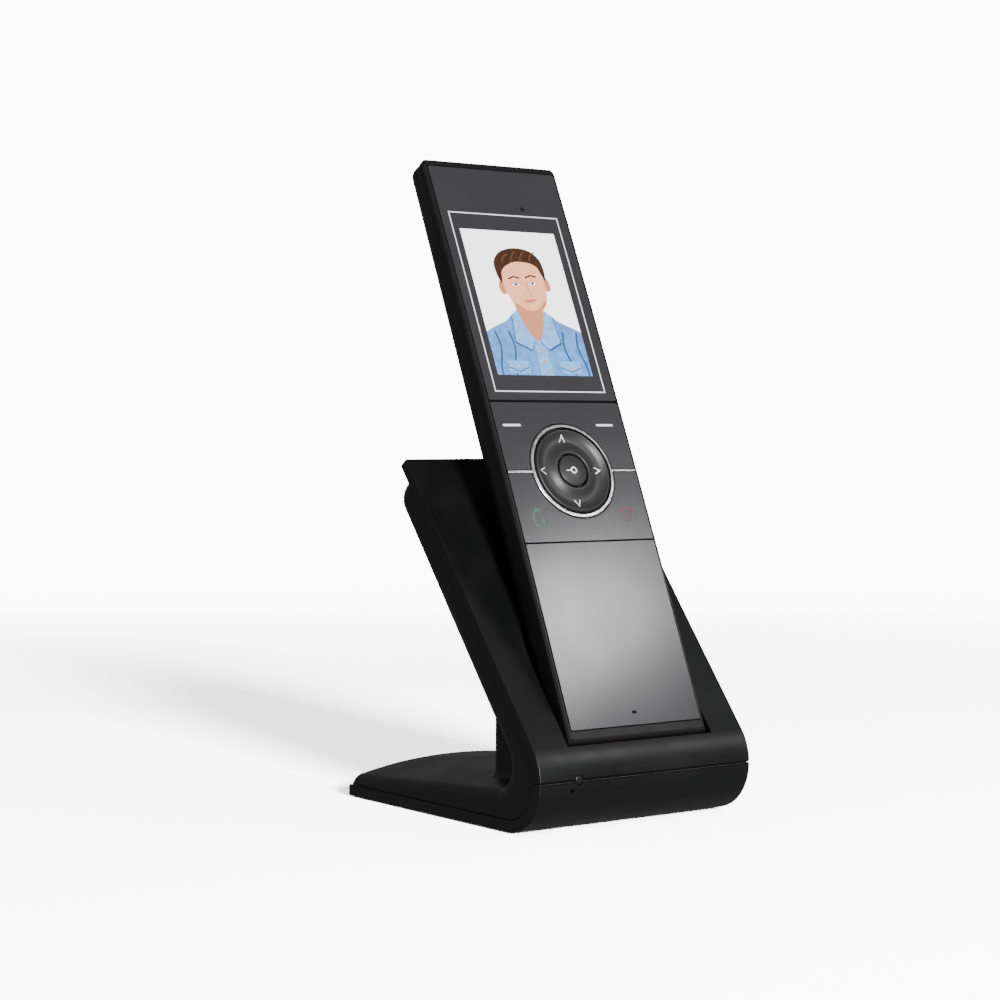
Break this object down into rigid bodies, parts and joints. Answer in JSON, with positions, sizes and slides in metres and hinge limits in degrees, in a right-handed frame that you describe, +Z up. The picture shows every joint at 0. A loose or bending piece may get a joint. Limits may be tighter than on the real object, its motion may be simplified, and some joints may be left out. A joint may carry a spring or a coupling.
{
  "type": "cordless video handset with desk charging cradle",
  "caption": "Slim black handset with a colour display and a navigation ring, standing in the well of a leaning, C-shaped desk charging cradle.",
  "frame": {"origin": "on the table, under the middle of the whole object's box", "axes": "+X to the user's right, -Y the side that the display faces, +Z up"},
  "size_m": [0.078, 0.0986, 0.1967],
  "materials": {
    "case_black": "satin black moulded plastic",
    "cover_black": "satin black moulded plastic, fine texture",
    "trim_black": "polished black plastic",
    "panel_glass": "grey tinted high gloss acrylic",
    "silver_trim": "bright silver plating",
    "gloss_key": "piano black gloss plastic",
    "display": "lit display glass",
    "metal_tray": "plain steel sheet",
    "steel": "zinc plated steel",
    "gold": "gold plating",
    "board_green": "solder mask",
    "rubber": "soft black rubber",
    "battery_wrap": "printed film wrap",
    "light_pipe": "clear polycarbonate"
  },
  "bodies": {
    "cradle": {"front_cover": "cover_black", "rear_shell": "cover_black", "bottom_cover": "cover_black", "cradle_board": "board_green", "power_inlet": "steel", "ballast_plate": "steel", "rubber_feet": "rubber", "cradle_screws": "steel", "board_screws": "steel", "indicator_lens": "light_pipe", "indicator_board": "board_green", "contact_block": "case_black", "contact_board": "board_green", "charge_spring_left": "steel", "charge_spring_right": "steel"},
    "handset": {"handset_rear_shell": "case_black", "battery_cell": "battery_wrap", "front_frame": "case_black", "side_rail_left": "trim_black", "side_rail_right": "trim_black", "chin_bar": "trim_black", "display_window": "panel_glass", "lower_panel": "panel_glass", "trim_ring": "silver_trim", "key_mat": "rubber", "display_module": "display", "display_frame": "metal_tray", "handset_board": "board_green", "earpiece_speaker": "steel", "microphone": "steel", "antenna": "gold", "charge_pads": "gold", "handset_screws": "steel"},
    "battery_door": {"battery_door": "case_black"},
    "upper_keys": {"upper_key_plate": "panel_glass"},
    "lower_keys": {"lower_key_plate": "panel_glass"},
    "nav_carrier": {"nav_carrier": "case_black"},
    "nav_ring": {"nav_ring": "gloss_key"},
    "ok_button": {"ok_button": "gloss_key"},
    "charge_pin_left": {"charge_pin_left": "gold"},
    "charge_pin_right": {"charge_pin_right": "gold"}
  },
  "joints": [
    {"name": "handset_lift", "type": "slide", "parent": "cradle", "child": "handset", "axis": [0, 0.3979, 0.9174], "range_m": [0, 0.06]},
    {"name": "battery_door_lift", "type": "slide", "parent": "handset", "child": "battery_door", "axis": [0, 0.9174, -0.3979], "range_m": [0, 0.005]},
    {"name": "upper_keys_rock", "type": "hinge", "parent": "handset", "child": "upper_keys", "pos_m": [0, -0.00784, 0.11253], "axis": [0, 0.3979, 0.9174], "range_deg": [-0.9, 0.9], "stiffness_Nm_per_rad": 0.02},
    {"name": "lower_keys_rock", "type": "hinge", "parent": "handset", "child": "lower_keys", "pos_m": [0, -0.01739, 0.09051], "axis": [0, 0.3979, 0.9174], "range_deg": [-0.9, 0.9], "stiffness_Nm_per_rad": 0.02},
    {"name": "nav_tip_up_down", "type": "hinge", "parent": "handset", "child": "nav_carrier", "pos_m": [0, -0.01257, 0.10138], "axis": [1, 0, 0], "range_deg": [-2, 2], "stiffness_Nm_per_rad": 0.008},
    {"name": "nav_tip_left_right", "type": "hinge", "parent": "nav_carrier", "child": "nav_ring", "pos_m": [0, -0.01257, 0.10138], "axis": [0, 0.3979, 0.9174], "range_deg": [-2, 2], "stiffness_Nm_per_rad": 0.008},
    {"name": "ok_press", "type": "slide", "parent": "handset", "child": "ok_button", "axis": [0, 0.9174, -0.3979], "range_m": [0, 0.0005], "stiffness_N_per_m": 20, "springref_m": -0.0008},
    {"name": "charge_pin_left_press", "type": "slide", "parent": "cradle", "child": "charge_pin_left", "axis": [0, 0.3979, 0.9174], "range_m": [-0.0008, 0], "stiffness_N_per_m": 10, "springref_m": 0.0009, "deforming": ["charge_spring_left"]},
    {"name": "charge_pin_right_press", "type": "slide", "parent": "cradle", "child": "charge_pin_right", "axis": [0, 0.3979, 0.9174], "range_m": [-0.0008, 0], "stiffness_N_per_m": 10, "springref_m": 0.0009, "deforming": ["charge_spring_right"]}
  ]
}
